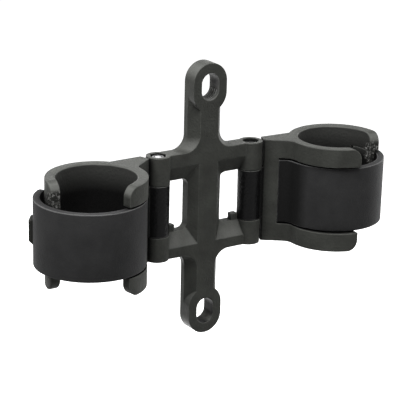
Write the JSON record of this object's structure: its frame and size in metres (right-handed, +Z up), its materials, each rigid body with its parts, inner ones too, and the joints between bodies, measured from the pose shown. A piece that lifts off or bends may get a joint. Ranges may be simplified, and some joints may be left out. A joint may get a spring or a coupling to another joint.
{
  "type": "bottle cage adapter",
  "caption": "Bottle cage adapter: a slotted spine bracket for a cage, with hinged C-clamps that grip tubes, each closed by a hooked rubber strap.",
  "frame": {"origin": "middle of the cage hole pattern, on the plane through both hinge axes, inside the spine", "axes": "+X along the crossbars to the right clamp, -Y out of the cage side of the bracket, +Z up along the spine, the hinge axes and the tubes"},
  "size_m": [0.1073, 0.0287, 0.077],
  "materials": {
    "bracket_plastic": "fine matte grain, charcoal",
    "clamp_plastic": "fine matte grain, charcoal",
    "strap_rubber": "matte black rubber",
    "hinge_steel": "plain steel"
  },
  "bodies": {
    "frame": {"bracket": "bracket_plastic", "left_hinge_bolt": "hinge_steel", "right_hinge_bolt": "hinge_steel", "left_hinge_nut": "hinge_steel", "right_hinge_nut": "hinge_steel"},
    "left_arm": {"left_clamp": "clamp_plastic", "left_strap": "strap_rubber"},
    "right_arm": {"right_clamp": "clamp_plastic", "right_strap": "strap_rubber"}
  },
  "joints": [
    {"name": "left_swing", "type": "hinge", "parent": "frame", "child": "left_arm", "pos_m": [-0.0149, 0, 0], "axis": [0, 0, 1], "range_deg": [-85, 55]},
    {"name": "right_swing", "type": "hinge", "parent": "frame", "child": "right_arm", "pos_m": [0.0149, 0, 0], "axis": [0, 0, -1], "range_deg": [-85, 55]}
  ]
}
